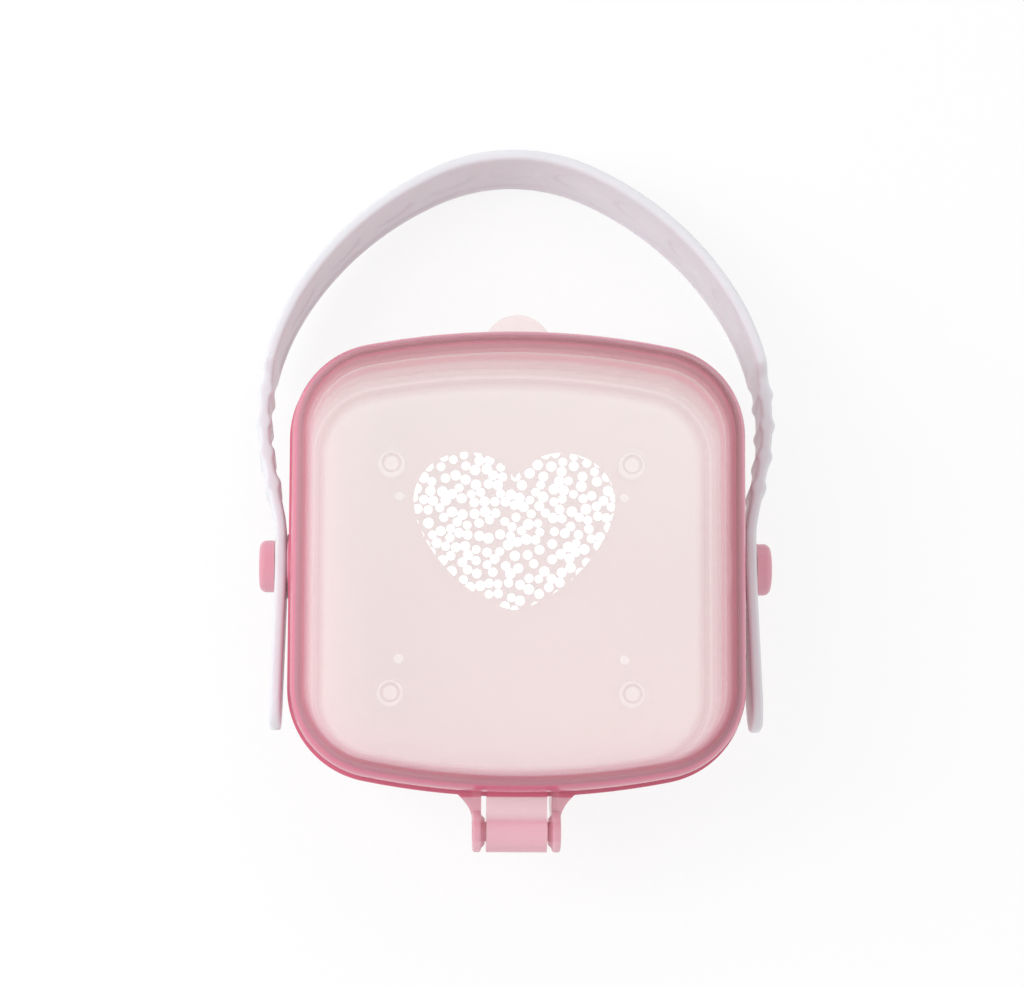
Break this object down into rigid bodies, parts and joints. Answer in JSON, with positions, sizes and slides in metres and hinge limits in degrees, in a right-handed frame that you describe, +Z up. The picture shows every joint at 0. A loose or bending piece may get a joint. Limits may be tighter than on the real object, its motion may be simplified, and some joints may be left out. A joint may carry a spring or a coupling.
{
  "type": "soother case",
  "caption": "Rounded square two-shell case with a snap hinge at the back, an opening tab and a soft strap handle swinging on side studs.",
  "frame": {"origin": "on the table plane, under the middle of the whole object's box", "axes": "+Z up; +Y from the hinge towards the opening tab and the handle's arch; +X along the hinge axis"},
  "size_m": [0.0876, 0.12, 0.0431],
  "materials": {
    "base_plastic": "translucent pink polypropylene, moulded satin",
    "lid_plastic": "translucent pink polypropylene, moulded satin, with a printed white heart of dots",
    "strap_silicone": "pale lilac silicone, soft and slightly glossy"
  },
  "bodies": {
    "base": {"base_shell": "base_plastic"},
    "lid": {"lid_shell": "lid_plastic"},
    "handle": {"strap_handle": "strap_silicone"}
  },
  "joints": [
    {"name": "lid_hinge", "type": "hinge", "parent": "base", "child": "lid", "pos_m": [0, -0.05664, 0.026], "axis": [1, 0, 0], "range_deg": [0, 180]},
    {"name": "handle_swing", "type": "hinge", "parent": "base", "child": "handle", "pos_m": [0, -0.01254, 0.019], "axis": [1, 0, 0], "range_deg": [0, 165]}
  ]
}
